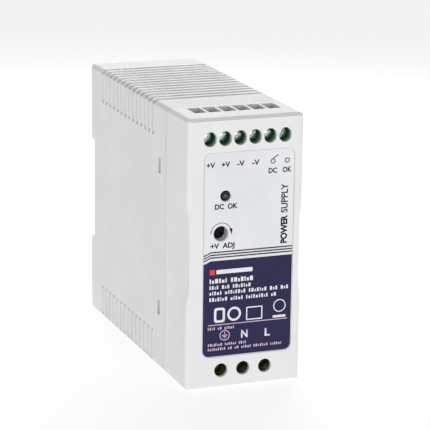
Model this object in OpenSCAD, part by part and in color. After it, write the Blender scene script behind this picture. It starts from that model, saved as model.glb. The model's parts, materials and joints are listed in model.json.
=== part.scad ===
// DIN rail power supply: snap-together box, two screw terminal blocks, sprung rail foot.
// Units mm. X across the front, -Y to the front face, +Y to the rail, +Z up.
// Origin: centre of the face that the rail lips rest on.

/* [Body] */
// width of the body
body_w = 40; // [39.5:0.5:52]
// height of the body
body_h = 90; // [89:1:120]
// depth of the body, front face to rearmost face
body_d = 100; // [98:1:130]
// depth of the snap-on front cover
cover_d = 20; // [20:0.5:25]
// thickness of the side walls
side_wall = 2; // [1.6:0.1:2.6]
// thickness of the top and bottom walls
roof_wall = 2.4; // [2.1:0.1:3]
// thickness of the cover's front wall
front_wall = 1.5; // [1.2:0.1:1.8]
// thickness of the cover's other walls
cover_wall = 1.7; // [1.4:0.1:1.8]
// radius of the upper long edges
edge_r = 1.8; // [0.6:0.1:2]
// radius of the lower long edges
low_edge_r = 0.8; // [0.6:0.1:2]
// radius of the rear edges
rear_r = 1; // [0.6:0.1:3]
// height of the snap catches from the body's middle
catch_rise = 24.3; // [20:0.1:30]

/* [Vents] */
// number of vent grooves on the top and on the bottom
vent_count = 14; // [8:1:14]
// distance between vent grooves
vent_pitch = 4.1; // [3.5:0.1:4.5]
// width of a vent groove
vent_w = 2; // [1.4:0.1:2.4]
// depth of a vent groove in the top
vent_depth = 1.3; // [0.8:0.1:1.5]
// depth of a vent groove in the sides
vent_side_depth = 0.2; // [0.2:0.05:0.6]
// how far a vent groove runs down the side
vent_drop = 11.5; // [8:0.5:16]

/* [Terminals] */
// distance between the output poles
out_pitch = 5.15; // [4.4:0.05:5.4]
// output screw axis below the top face
out_drop = 6.9; // [6.4:0.1:7.8]
// sideways place of the output block
out_x = 0.5; // [-0.4:0.1:0.6]
// distance between the input poles
in_pitch = 7.7; // [6.5:0.1:9.4]
// input screw axis above the bottom face
in_rise = 5.7; // [5.4:0.1:6.5]
// depth of a wire window along the body
window_d = 7.8; // [6.5:0.1:7.8]
// bar left between two output wire windows
out_bar = 0.9; // [0.75:0.05:1.1]
// bar left between two input wire windows
in_bar = 2.2; // [1.8:0.1:2.6]
// travel of an output clamp along the screw
out_travel = 2.4; // [2:0.1:2.8]
// travel of an input clamp along the screw
in_travel = 1.8; // [1.5:0.1:2.1]

/* [Front face] */
// label's edge below the top of the body
label_top = 11.5; // [9.4:0.1:14]
// label's edge above the bottom of the body
label_low = 10.5; // [8.5:0.1:13]
// label's edge in from the left side
label_left = 5.8; // [4:0.1:6.4]
// label's edge in from the right side
label_right = 3.3; // [2.9:0.1:5]
// corner radius of the label
label_r = 2.2; // [1:0.1:3]
// depth of the label recess
label_recess = 0.4; // [0.3:0.05:0.6]
// lamp's centre in from the left side
lamp_in = 13.2; // [11.5:0.1:15]
// height of the lamp above the rail centre
lamp_z = 19.2; // [16.2:0.2:23.2]
// half size of the voltage adjuster's square body
trimmer_half = 5.2; // [4:0.1:5.7]
// height of the voltage adjuster above the rail centre
adjust_z = 6.8; // [5:0.2:8.2]

/* [Rail foot] */
// how far the rail foot slides down to let go
latch_travel = 4; // [3.3:0.1:4.8]
// width of the rail foot
latch_w = 15; // [12.5:0.5:18]
// depth of the rail recess
rail_recess = 4; // [3.8:0.1:4.8]

/* [Hidden] */
$fn = 48;
e = 0.01;
rail_h = 35;
lip_gap = 1.3;
seam_gap = 0.15;
fit_gap = 0.2;
slide_gap = 0.3;
rear_y = rail_recess;
front_y = rear_y - body_d;
seam_y = front_y + cover_d;
top_z = body_h / 2;
half_w = body_w / 2;
skirt_len = 2.8;
skirt_t = 1.1;
vent_y = rear_y - 13.5;
recess_half = rail_h / 2 + 0.7;
pocket_half = rail_h / 2 - 3.2;
inner_rear_y = -2;
slot_y = seam_y + 6.6;
slot_w = 2.1;
slot_h = 5.1;
slot_z = catch_rise;
arm_t = 1.3;
out_z = top_z - out_drop;
in_z = in_rise - top_z;
poles_out = 6;
poles_in = 3;
block_rear = front_y + 17.6;
window_y = front_y + 9;
cage_rear = front_y + 16.1;
bar_t = 0.8;
cage_wall = 1.1;
head_gap = 0.3;
tube_depth = 2.4;
board_t = 1.6;
board_x = -half_w + 5;
face_x = board_x + board_t;
lamp_x = lamp_in - half_w;
adjust_x = face_x + trimmer_half;
out_window_w = out_pitch - out_bar;
in_window_w = in_pitch - in_bar;
board_front = front_y + 4;
board_step = block_rear + board_t + 0.7;
board_rear = -3.2;
board_half = top_z - roof_wall - 1.8;
tongue_half = 28.5;
wing = 1.5;
wing_t = 1.4;
latch_t = 3.1;
latch_low = -top_z + 1;
tooth_low = -rail_h / 2 + 2.8;
latch_shoulder = -rail_h / 2 - 0.5;
lug_top = latch_low + 8.2;
spring_top = lug_top + 12;
parts_low = 40.8 - board_half;
parts_high = board_half - 40.8;
parts_front = front_y + 96;

// ---------- helpers ----------

// box from its lowest corner to its highest corner
module block(a, b) {
    translate(a) cube(b - a);
}

// rounded rectangle about the centre
module rrect(w, h, r) {
    square([w - 2 * r, h], center = true);
    square([w, h - 2 * r], center = true);
    for (sx = [-1, 1])
        for (sy = [-1, 1])
            translate([sx * (w / 2 - r), sy * (h / 2 - r)]) circle(r = r);
}

// cylinder along Y from y0 to y1
module rod_y(x, z, r, y0, y1) {
    translate([x, y0, z]) rotate([-90, 0, 0]) cylinder(r = r, h = y1 - y0);
}

// cylinder along X from x0 to x1
module rod_x(y, z, r, x0, x1) {
    translate([x0, y, z]) rotate([0, 90, 0]) cylinder(r = r, h = x1 - x0);
}

// cylinder along Z from z0 to z1
module rod_z(x, y, r, z0, z1) {
    translate([x, y, z0]) cylinder(r = r, h = z1 - z0);
}

// upright hole with round ends along Y
module obround_y(x, z, w, h, y0, y1) {
    for (s = [-1, 1]) rod_y(x, z + s * (h - w) / 2, w / 2, y0, y1);
    block([x - w / 2, y0, z - (h - w) / 2], [x + w / 2, y1, z + (h - w) / 2]);
}

function out_pole(i) = out_x + (i - (poles_out - 1) / 2) * out_pitch;
function in_pole(i) = (i - (poles_in - 1) / 2) * in_pitch;
function vent_at(i) = vent_y - i * vent_pitch;

// the whole body outline: round long edges, round rear edges, chamfered and rounded front edges
module body_form() {
    chamfer = 1;
    low_chamfer = 0.4;
    front_r = 1.5;
    intersection() {
        translate([0, rear_y, 0]) rotate([90, 0, 0])
            linear_extrude(height = body_d) union() {
                translate([-half_w + edge_r, 0]) square([body_w - 2 * edge_r, top_z]);
                translate([-half_w + low_edge_r, -top_z]) square([body_w - 2 * low_edge_r, top_z]);
                translate([-half_w, -top_z + low_edge_r]) square([body_w, body_h - edge_r - low_edge_r]);
                for (s = [-1, 1]) {
                    translate([s * (half_w - edge_r), top_z - edge_r]) circle(r = edge_r);
                    translate([s * (half_w - low_edge_r), -top_z + low_edge_r]) circle(r = low_edge_r);
                }
            }
        translate([-half_w - 1, 0, 0]) rotate([90, 0, 90]) linear_extrude(height = body_w + 2) {
            polygon([[front_y, -top_z + low_chamfer], [front_y + low_chamfer, -top_z], [rear_y - rear_r, -top_z],
                [rear_y - rear_r, top_z], [front_y + chamfer, top_z], [front_y, top_z - chamfer]]);
            translate([rear_y - rear_r - 1, -top_z + rear_r]) square([rear_r + 1, body_h - 2 * rear_r]);
            for (s = [-1, 1]) translate([rear_y - rear_r, s * (top_z - rear_r)]) circle(r = rear_r);
        }
        translate([0, 0, -top_z - 1]) linear_extrude(height = body_h + 2) {
            translate([-half_w, front_y + front_r]) square([body_w, body_d - front_r - rear_r]);
            translate([-half_w + front_r, front_y]) square([body_w - 2 * front_r, front_r + 1]);
            translate([-half_w + rear_r, rear_y - rear_r - 1]) square([body_w - 2 * rear_r, rear_r + 1]);
            for (s = [-1, 1]) {
                translate([s * (half_w - front_r), front_y + front_r]) circle(r = front_r);
                translate([s * (half_w - rear_r), rear_y - rear_r]) circle(r = rear_r);
            }
        }
    }
}

// ---------- enclosure ----------

// one vent groove across the top and down both sides
module vent_groove(y) {
    low = top_z - vent_drop;
    side = half_w - vent_side_depth;
    translate([0, y + vent_w / 2, 0]) rotate([90, 0, 0]) linear_extrude(height = vent_w) difference() {
        translate([-half_w - 1, low]) square([body_w + 2, vent_drop + 1]);
        translate([-side, low - 1]) square([2 * side, top_z - vent_depth - low + 1]);
    }
}

// one through slot in a vent groove's floor
module vent_slot(y) {
    block([-half_w + 9, y - 0.7, top_z - roof_wall - 1], [half_w - 5, y + 0.7, top_z]);
}

// small pits in a vent groove, where it turns over the edge and where it ends on the side
module vent_pits(y) {
    pit_r = 0.55;
    floor_x = half_w - vent_side_depth;
    for (s = [0, 1]) mirror([s, 0, 0]) {
        block([floor_x - 1.2, y - pit_r, top_z - vent_depth - 0.6], [floor_x - 0.3, y + pit_r, top_z]);
        rod_x(y, top_z - vent_drop + pit_r, pit_r, floor_x - 0.6, half_w + 1);
    }
}

module vents() {
    for (i = [0 : vent_count - 1]) {
        vent_groove(vent_at(i));
        vent_slot(vent_at(i));
        vent_pits(vent_at(i));
    }
}

// space that the rail foot slides in, open to the rear and downwards
module latch_channel() {
    w = latch_w / 2 + slide_gap;
    block([-w, -0.05, -top_z - 1], [w, rear_y + 1, tooth_low + 0.5]);
    block([-w - wing, -0.05, latch_low + 1.8], [w + wing, wing_t + 0.35, -recess_half - 1.2]);
}

module rear_housing() {
    color([0.86, 0.86, 0.84]) {
        difference() {
            body_form();
            // front part belongs to the cover
            block([-half_w - 1, front_y - 1, -top_z - 1], [half_w + 1, seam_y + seam_gap / 2, top_z + 1]);
            // main hollow
            block([-half_w + side_wall, seam_y - 1, -top_z + roof_wall],
                [half_w - side_wall, inner_rear_y, top_z - roof_wall]);
            // hollow above the rail recess
            block([-half_w + side_wall + 1, inner_rear_y - 1, recess_half + 2.5],
                [half_w - side_wall - 1, rear_y - 2.2, top_z - roof_wall - 1]);
            // hollows beside the rail foot
            for (s = [0, 1]) mirror([s, 0, 0])
                block([latch_w / 2 + wing + 2.2, inner_rear_y - 1, -top_z + roof_wall + 1],
                    [half_w - side_wall - 1, rear_y - 2.2, -recess_half - 2.5]);
            vents();
            mirror([0, 0, 1]) vents();
            // rail recess across the rear
            block([-half_w - 1, 0, -recess_half], [half_w + 1, rear_y + 1, recess_half]);
            // relief under the hook
            block([-8.6, -0.4, pocket_half], [8.6, 1, recess_half]);
            latch_channel();
            // catch slots for the cover's snap arms
            for (sx = [-1, 1])
                for (sz = [-1, 1])
                    translate([sx * (half_w - side_wall / 2), slot_y, sz * slot_z])
                        cube([side_wall + 1, slot_w, slot_h], center = true);
        }
        // fixed hook over the rail's upper lip
        translate([-8, 0, 0]) rotate([90, 0, 90]) linear_extrude(height = 16)
            polygon([[lip_gap, recess_half + e], [lip_gap, recess_half - 0.02], [lip_gap, rail_h / 2 - 2.9],
                [lip_gap + 0.8, rail_h / 2 - 3.1], [rear_y - 0.2, rail_h / 2 - 1.2], [rear_y - 0.2, recess_half + e]]);
        // lug that the foot's spring pushes on
        block([-1.9, -0.1, lug_top - 1.6], [1.9, latch_t, lug_top]);
        // guide ribs for the main board
        for (sz = [-1, 1])
            for (x = [board_x - 1.3, face_x + 0.15])
                translate([x, 0, 0]) mirror([0, 0, sz < 0 ? 1 : 0])
                    block([0, seam_y + 6, board_half - 1.2], [1.15, board_rear - 2, top_z - roof_wall + 0.2]);
    }
}

// one snap arm on the +X side
module snap_arm() {
    face = half_w - side_wall - fit_gap;
    h = slot_h - 0.5;
    block([face - arm_t, seam_y - 1.5, -h / 2], [face, slot_y + slot_w / 2 + 1.2, h / 2]);
    translate([0, 0, -h / 2]) linear_extrude(height = h)
        polygon([[face - 0.5, slot_y - slot_w / 2 + 0.2], [face + side_wall * 0.7, slot_y - slot_w / 2 + 0.2],
            [face + side_wall * 0.7, slot_y - slot_w / 2 + 0.7], [face, slot_y + slot_w / 2 - 0.15],
            [face - 0.5, slot_y + slot_w / 2 - 0.15]]);
}

// finger recess wedge on the +X side, deepest at the front edge
module finger_recess() {
    deep = 1;
    run = 8.8;
    half = 17;
    fade = 12;
    intersection() {
        translate([0, 0, -half]) linear_extrude(height = 2 * half)
            polygon([[half_w - deep, front_y - 1], [half_w - deep, front_y], [half_w + e, front_y + run],
                [half_w + 2, front_y + run], [half_w + 2, front_y - 1]]);
        rotate([90, 0, 0]) translate([0, 0, -front_y - run - 1]) linear_extrude(height = run + 3)
            polygon([[half_w - deep - 1, -half + fade], [half_w - deep - 1, half - fade], [half_w, half],
                [half_w + 3, half], [half_w + 3, -half], [half_w, -half]]);
    }
}

module label_outline(grow) {
    w = body_w - label_left - label_right;
    h = body_h - label_top - label_low;
    translate([(label_left - label_right) / 2, (label_low - label_top) / 2])
        rrect(w + 2 * grow, h + 2 * grow, label_r + grow);
}

module front_cover() {
    in_w = half_w - cover_wall;
    in_z_top = top_z - cover_wall;
    skirt_w = half_w - side_wall - fit_gap;
    skirt_z = top_z - roof_wall - fit_gap;
    color([0.92, 0.92, 0.91]) {
        difference() {
            union() {
                difference() {
                    body_form();
                    // rear part belongs to the housing
                    block([-half_w - 1, seam_y - seam_gap / 2, -top_z - 1], [half_w + 1, rear_y + 1, top_z + 1]);
                    // hollow
                    block([-in_w, front_y + front_wall, -in_z_top], [in_w, seam_y + 1, in_z_top]);
                }
                // skirt that plugs into the housing
                difference() {
                    block([-skirt_w, seam_y - 1.4, -skirt_z], [skirt_w, seam_y + skirt_len, skirt_z]);
                    block([-skirt_w + skirt_t, seam_y - 2, -skirt_z + skirt_t],
                        [skirt_w - skirt_t, seam_y + skirt_len + 1, skirt_z - skirt_t]);
                }
                // shoulder that carries the skirt
                difference() {
                    block([-in_w - e, seam_y - 2.2, -in_z_top - e], [in_w + e, seam_y - 0.9, in_z_top + e]);
                    block([-skirt_w + skirt_t, seam_y - 3, -skirt_z + skirt_t],
                        [skirt_w - skirt_t, seam_y, skirt_z - skirt_t]);
                }
                for (sx = [0, 1])
                    for (sz = [-1, 1])
                        mirror([sx, 0, 0]) translate([0, 0, sz * slot_z]) snap_arm();
                // tube behind the adjuster hole
                rod_y(adjust_x, adjust_z, 3.3, front_y + 1, front_y + front_wall + tube_depth);
            }
            // output screw holes and wire windows
            for (i = [0 : poles_out - 1]) {
                obround_y(out_pole(i), out_z, 4.3, 4.8, front_y - 1, front_y + front_wall + 1);
                block([out_pole(i) - out_window_w / 2, window_y, top_z - cover_wall - 1],
                    [out_pole(i) + out_window_w / 2, window_y + window_d, top_z + 1]);
            }
            // input screw holes and wire windows
            for (i = [0 : poles_in - 1]) {
                rod_y(in_pole(i), in_z, 2.3, front_y - 1, front_y + front_wall + 1);
                block([in_pole(i) - in_window_w / 2, window_y, -top_z - 1],
                    [in_pole(i) + in_window_w / 2, window_y + window_d, -top_z + cover_wall + 1]);
            }
            // lamp hole and adjuster hole
            rod_y(lamp_x, lamp_z, 1.8, front_y - 1, front_y + front_wall + 1);
            rod_y(adjust_x, adjust_z, 2.5, front_y - 1, front_y + front_wall + tube_depth + 1);
            // shallow label recess
            translate([0, front_y + label_recess, 0]) rotate([90, 0, 0])
                linear_extrude(height = 2) label_outline(0.25);
            for (s = [0, 1]) mirror([s, 0, 0]) finger_recess();
        }
    }
}

module front_label() {
    color([0.88, 0.9, 0.92]) difference() {
        translate([0, front_y + label_recess, 0]) rotate([90, 0, 0])
            linear_extrude(height = 0.25) label_outline(0);
        rod_y(lamp_x, lamp_z, 2, front_y - 1, front_y + 1);
        rod_y(adjust_x, adjust_z, 2.7, front_y - 1, front_y + 1);
    }
}

// ---------- rail foot ----------

module rail_latch() {
    y0 = 0.2;
    half = latch_w / 2;
    color([0.2, 0.2, 0.21]) difference() {
        union() {
            // plate
            block([-half, y0, latch_low], [half, y0 + latch_t - 0.2, latch_shoulder]);
            // nose over the rail's lower lip
            translate([-half, 0, 0]) rotate([90, 0, 90]) linear_extrude(height = latch_w)
                polygon([[lip_gap, latch_shoulder - 1], [lip_gap, tooth_low], [lip_gap + 0.6, tooth_low + 0.2],
                    [rear_y - 0.5, -rail_h / 2 + 0.4], [rear_y - 0.5, latch_shoulder - 2], [lip_gap, latch_shoulder - 3]]);
            // side wings kept by the channel
            block([-half - wing, y0, latch_low + 2 + latch_travel], [half + wing, y0 + wing_t, -recess_half - 1.3]);
        }
        // window for the spring and the housing's lug
        block([-2.3, -1, lug_top - 2], [2.3, rear_y + 1, spring_top]);
        // screwdriver slot near the lower end
        block([-3.2, -1, latch_low + 1.6], [3.2, rear_y + 1, latch_low + 3.4]);
        // pull notch on the rear face
        translate([-half - 1, latch_t + 0.5, latch_low + 4.6]) rotate([0, 90, 0]) cylinder(r = 1, h = latch_w + 2);
    }
}

module latch_spring() {
    turns = 6;
    len = spring_top - lug_top - 0.4;
    y = 0.2 + latch_t / 2 + 0.15;
    r = latch_t / 2 - 0.45;
    color([0.7, 0.7, 0.72]) translate([0, y, lug_top + 0.2])
        linear_extrude(height = len, twist = -360 * turns, slices = turns * 20)
            translate([r - 0.25, 0]) circle(r = 0.28, $fn = 10);
}

// ---------- boards ----------

module main_board() {
    color([0.1, 0.32, 0.16]) {
        block([board_x, board_step, -board_half], [face_x, board_rear, board_half]);
        block([board_x, board_front, -tongue_half], [face_x, board_step + 1, tongue_half]);
    }
}

// small upright board behind a terminal block
module end_board(z0, z1, pole_z, n) {
    y = block_rear + 0.2;
    x0 = board_x - 0.6;
    x1 = half_w - 3.6;
    difference() {
        block([x0, y, z0], [x1, y + board_t, z1]);
        for (i = [0 : n - 1]) {
            x = n == poles_out ? out_pole(i) : in_pole(i);
            block([x - 0.65, y - 1, pole_z - 0.65], [x + 0.65, y + board_t + 1, pole_z + 0.65]);
        }
        for (dz = [-3.81, 1.27, 3.81])
            rod_y(face_x + 1.3, (z0 + z1) / 2 + sign(z0) * dz, 0.5, y - 1, y + board_t + 1);
    }
}

module output_board() {
    color([0.1, 0.32, 0.16])
        end_board(out_z - 8, top_z - 4, out_z - 3.85, poles_out);
}

module input_board() {
    color([0.1, 0.32, 0.16])
        end_board(-top_z + 4, in_z + 8.6, in_z + 3.85, poles_in);
}

// pin strip that joins an end board to the main board, with its pins clear of the solder tails
module header(zc, side) {
    y0 = block_rear + 0.2 + board_t + 0.7;
    z0 = zc - 5;
    color([0.08, 0.08, 0.08]) block([face_x, y0, z0], [face_x + 2.5, y0 + 2.5, z0 + 10]);
    color([0.8, 0.75, 0.6]) for (dz = [-3.81, 1.27, 3.81])
        rod_y(face_x + 1.3, zc + side * dz, 0.32, y0 - board_t - 0.8, y0 + 0.5);
}

module output_header() {
    header((out_z - 8 + top_z - 4) / 2, 1);
}

module input_header() {
    header((in_z + 8.6 - top_z + 4) / 2, -1);
}

// ---------- terminals ----------
// drawn with the wire side towards +Z; the input side mirrors it

// block with one chamber for each pole; its front is block_front, its works start at front
module terminal_body(xs, pitch, zc, front, head_bore, cage_w, shank_bore, mouth_w) {
    n = len(xs);
    top = top_z - cover_wall - 0.3;
    cage_front = chamber(front);
    head_end = cage_front - ledge_t;
    difference() {
        block([xs[0] - pitch / 2 - 0.2, block_front, zc - 5.6], [xs[n - 1] + pitch / 2 + 0.2, block_rear, top]);
        for (x = xs) {
            rod_y(x, zc, head_bore, block_front - 1, head_end);
            rod_y(x, zc, shank_bore, block_front, cage_front + 1);
            // chamber of the clamp cage and the contact bar
            block([x - cage_w / 2 - 0.1, cage_front, zc - 4.4], [x + cage_w / 2 + 0.1, cage_rear + 0.6, zc + 3]);
            // wire mouth
            block([x - mouth_w / 2, window_y - 0.1, zc + 2], [x + mouth_w / 2, cage_rear + 0.6, top + 1]);
            // way out for the solder tail
            block([x - 0.7, cage_rear, zc - 4.4], [x + 0.7, block_rear + 1, zc - 3.3]);
        }
    }
}

// fixed contact bar with its solder tail
module contact(x, zc, w, bar_y) {
    low = zc - 4.2;
    block([x - w / 2, bar_y, low], [x + w / 2, bar_y + bar_t, zc + 2.6]);
    block([x - w / 2, bar_y, low], [x + w / 2, cage_rear + 0.5, low + 0.7]);
    block([x - 0.5, cage_rear - 1, low], [x + 0.5, block_rear + 2.2, low + 0.7]);
}

// cage that climbs the screw and presses the wire against the bar
module clamp_cage(x, zc, w, bore, rest_y) {
    t = 0.55;
    half = 2.8;
    difference() {
        block([x - w / 2, rest_y, zc - half], [x + w / 2, cage_rear, zc + half]);
        block([x - w / 2 + t, rest_y + cage_wall, zc - half - 1], [x + w / 2 - t, cage_rear - 0.8, zc + half + 1]);
        rod_y(x, zc, bore, rest_y - 1, rest_y + 2);
    }
}

// slotted screw with its head towards the front
module terminal_screw(x, zc, head_r, shank_r, head_y, tip_y, slot_deg) {
    head_t = 1.6;
    slot = 0.9;
    slot_depth = 1.1;
    difference() {
        union() {
            rod_y(x, zc, head_r, head_y, head_y + head_t);
            rod_y(x, zc, shank_r, head_y + 1, tip_y);
        }
        translate([x, head_y, zc]) rotate([0, slot_deg, 0])
            cube([2 * head_r + 1, 2 * slot_depth, slot], center = true);
        // rounded head rim
        difference() {
            rod_y(x, zc, head_r + 1, head_y - 1, head_y + 0.35);
            translate([x, head_y + 0.35, zc]) rotate([90, 0, 0]) cylinder(r1 = head_r, r2 = head_r - 0.6, h = 0.36);
            rod_y(x, zc, head_r - 0.6, head_y - 2, head_y + 0.4);
        }
    }
}

// front of the clamp chamber whose works start at front
function chamber(front) = front + 3.2 + ledge_t;

// place of a cage at rest, open, and of the contact bar behind it
function cage_rest(front, travel) = chamber(front) + travel + 0.15;
function bar_at(front, travel) = cage_rest(front, travel) + cage_wall + 0.1;

ledge_t = 0.8;
block_front = front_y + front_wall + 0.3;
out_front = block_front;
in_front = front_y + front_wall + tube_depth + 0.2;
out_cage_w = out_pitch - 1.1;
in_cage_w = in_pitch - 1.8;
out_head_bore = out_pitch / 2 - 0.45;
in_head_bore = in_pitch / 2 - 1.55;
out_bar_y = bar_at(out_front, out_travel);
in_bar_y = bar_at(in_front, in_travel);
// angle of each output screw's slot
out_slots = [-58, -44, -20, -40, -30, -66];
out_xs = [for (i = [0 : poles_out - 1]) out_pole(i)];
in_xs = [for (i = [0 : poles_in - 1]) in_pole(i)];

module output_terminal_block() {
    color([0.05, 0.42, 0.2])
        terminal_body(out_xs, out_pitch, out_z, out_front, out_head_bore, out_cage_w, 1.4, out_window_w);
}

module input_terminal_block() {
    color([0.04, 0.28, 0.14]) mirror([0, 0, 1])
        terminal_body(in_xs, in_pitch, -in_z, in_front, in_head_bore, in_cage_w, 1.7, in_window_w);
}

module output_contacts() {
    color([0.75, 0.72, 0.66]) for (x = out_xs) contact(x, out_z, out_cage_w - 1.4, out_bar_y);
}

module input_contacts() {
    color([0.75, 0.72, 0.66]) mirror([0, 0, 1]) for (x = in_xs) contact(x, -in_z, in_cage_w - 1.5, in_bar_y);
}

module output_screw(i) {
    color([0.72, 0.73, 0.74])
        terminal_screw(out_pole(i), out_z, out_head_bore - head_gap, 1.2, out_front + 1.4, out_bar_y - 0.15, out_slots[i]);
}

module input_screw(i) {
    color([0.72, 0.66, 0.52])
        terminal_screw(in_pole(i), in_z, in_head_bore - head_gap, 1.45, in_front + 1.2, in_bar_y - 0.15, 30 + 62 * i);
}

module output_clamp(i) {
    color([0.6, 0.6, 0.62])
        clamp_cage(out_pole(i), out_z, out_cage_w, 1.25, cage_rest(out_front, out_travel));
}

module input_clamp(i) {
    color([0.6, 0.6, 0.62])
        clamp_cage(in_pole(i), in_z, in_cage_w, 1.5, cage_rest(in_front, in_travel));
}

// ---------- lamp and adjuster ----------

module led_lamp() {
    tip = front_y + 1.6;
    color([0.1, 0.4, 0.2]) {
        rod_y(lamp_x, lamp_z, 1.5, tip, front_y + 6.5);
        translate([lamp_x, tip, lamp_z]) sphere(r = 1.5);
        rod_y(lamp_x, lamp_z, 1.9, front_y + 5.6, front_y + 6.5);
    }
}

module led_leads() {
    y0 = front_y + 6.5;
    color([0.7, 0.7, 0.7]) for (s = [-1, 1]) {
        block([lamp_x - 0.25, y0, lamp_z + s * 1.27 - 0.25], [lamp_x + 0.25, y0 + 3, lamp_z + s * 1.27 + 0.25]);
        block([face_x, y0 + 2.5, lamp_z + s * 1.27 - 0.25], [lamp_x + 0.25, y0 + 3, lamp_z + s * 1.27 + 0.25]);
    }
}

module trimmer_body() {
    y0 = front_y + front_wall + tube_depth + 0.4;
    color([0.1, 0.16, 0.42]) difference() {
        block([face_x, y0, adjust_z - trimmer_half], [adjust_x + 4.4, y0 + 4.8, adjust_z + trimmer_half]);
        rod_y(adjust_x, adjust_z, 2.4, y0 - 1, y0 + 1.6);
    }
}

module trimmer_rotor() {
    y0 = front_y + front_wall + tube_depth + 0.4;
    color([0.1, 0.12, 0.3]) difference() {
        rod_y(adjust_x, adjust_z, 2, y0 - 0.6, y0 + 1.5);
        translate([adjust_x, y0 - 0.6, adjust_z]) rotate([0, 35, 0]) cube([5, 1.8, 0.7], center = true);
    }
}

// ---------- mains side, on the main board's +X face ----------

module fuse() {
    color([0.12, 0.12, 0.12]) translate([0, parts_front, parts_low]) {
        rod_x(-69, -33.5, 4.2, face_x + 1, face_x + 9);
        for (s = [-1, 1]) rod_x(-69, -33.5 + s * 2.5, 0.35, face_x, face_x + 2);
    }
}

// upright disc with two legs
module disc_part(y, z, r, t) {
    rod_y(face_x + r + 2, z, r, y - t / 2, y + t / 2);
    for (s = [-1, 1]) rod_x(y, z + s * r * 0.5, 0.35, face_x, face_x + r + 2);
}

module inrush_thermistor() {
    color([0.12, 0.16, 0.14]) disc_part(-60, -33.5 + parts_low, 5.5, 4.4);
}

module surge_varistor() {
    color([0.1, 0.25, 0.55]) disc_part(-53, -33.5 + parts_low, 5.5, 4);
}

module x_capacitor() {
    color([0.85, 0.7, 0.15]) translate([0, 0, parts_low]) block([face_x, -48.5, -39], [face_x + 15, -40, -22]);
}

module y_capacitors() {
    color([0.15, 0.35, 0.6]) for (z = [-35, -26.5]) disc_part(-9, z + parts_low, 3.5, 3);
}

module line_choke_core() {
    color([0.16, 0.16, 0.17]) translate([0, 0, parts_low]) difference() {
        block([face_x + 1, -36, -39.5], [face_x + 17, -23, -22.5]);
        block([face_x + 4.5, -37, -35.5], [face_x + 13.5, -22, -26.5]);
    }
}

module line_choke_windings() {
    color([0.7, 0.35, 0.15]) translate([0, 0, parts_low]) for (z = [-37.5, -24.5]) difference() {
        block([face_x + 5, -37.4, z - 3.1], [face_x + 13, -21.6, z + 3.1]);
        block([face_x + 4, -36.01, z > -30 ? z - 2.01 : z - 5], [face_x + 14, -22.99, z > -30 ? z + 5 : z + 2.01]);
    }
}

module bridge_rectifier() {
    color([0.1, 0.1, 0.1]) translate([0, 0, parts_low]) {
        block([face_x + 3, -18.2, -40], [face_x + 18, -14.6, -24]);
        for (i = [0 : 3]) block([face_x, -16.7, -38.4 + i * 4], [face_x + 4, -16.1, -37.6 + i * 4]);
    }
}

module bulk_capacitor() {
    color([0.13, 0.15, 0.2]) difference() {
        rod_z(face_x + 9.2, -13.5, 9, -20.5, 10.5);
        // rolled groove near one end
        translate([face_x + 9.2, -13.5, 7.4]) rotate_extrude() translate([9.3, 0]) circle(r = 0.8);
    }
}

module primary_heatsink() {
    color([0.75, 0.76, 0.78]) difference() {
        block([face_x, -28.2, -20], [face_x + 26, -26.2, 10]);
        rod_y(face_x + 17, -5, 1.65, -29, -25);
    }
}

// transistor with a tab, flat against a plate
module tab_device(z) {
    block([face_x + 4, -32.8, z - 5], [face_x + 13.2, -28.3, z + 5]);
    difference() {
        block([face_x + 12, -29.6, z - 5], [face_x + 20, -28.3, z + 5]);
        rod_y(face_x + 17, z, 1.7, -33, -28);
    }
    for (i = [-1, 0, 1]) block([face_x, -30.8, z + i * 2.54 - 0.35], [face_x + 5, -30.3, z + i * 2.54 + 0.35]);
}

module switch_transistor() {
    color([0.09, 0.09, 0.1]) tab_device(-5);
}

// ---------- transformer ----------

tr_y = -50;
tr_z = -2.5;

module transformer_core() {
    x0 = face_x + 4;
    color([0.15, 0.15, 0.16]) difference() {
        block([x0, tr_y - 13, tr_z - 6], [x0 + 21, tr_y + 13, tr_z + 6]);
        for (s = [-1, 1]) block([x0 + 3.2, tr_y + s * 7 - 3, tr_z - 7], [x0 + 17.8, tr_y + s * 7 + 3, tr_z + 7]);
    }
}

module transformer_bobbin() {
    x0 = face_x + 4;
    color([0.08, 0.08, 0.08]) {
        for (x = [x0 + 3.4, x0 + 16.2]) difference() {
            block([x, tr_y - 9.7, tr_z - 11.5], [x + 1.4, tr_y + 9.7, tr_z + 11.5]);
            block([x - 1, tr_y - 4.2, tr_z - 6.2], [x + 3, tr_y + 4.2, tr_z + 6.2]);
        }
        for (s = [-1, 1]) {
            block([face_x + 0.6, tr_y - 11, tr_z + s * 10.2 - 1.9], [x0 + 3.6, tr_y + 11, tr_z + s * 10.2 + 1.9]);
            for (i = [-2 : 2]) rod_x(tr_y + i * 4.4, tr_z + s * 10.2, 0.4, face_x, face_x + 2);
        }
    }
}

module transformer_winding() {
    x0 = face_x + 4;
    color([0.86, 0.72, 0.2]) difference() {
        translate([x0 + 4.9, tr_y, tr_z]) rotate([0, 90, 0]) linear_extrude(height = 11.2) rrect(21.6, 18.6, 3);
        block([x0, tr_y - 4.2, tr_z - 6.2], [x0 + 21, tr_y + 4.2, tr_z + 6.2]);
    }
}

// ---------- output side ----------

module secondary_heatsink() {
    color([0.75, 0.76, 0.78]) difference() {
        block([face_x, -64, 14], [face_x + 26, -32, 16]);
        rod_z(face_x + 17, -46, 1.65, 13, 17);
    }
}

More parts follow.
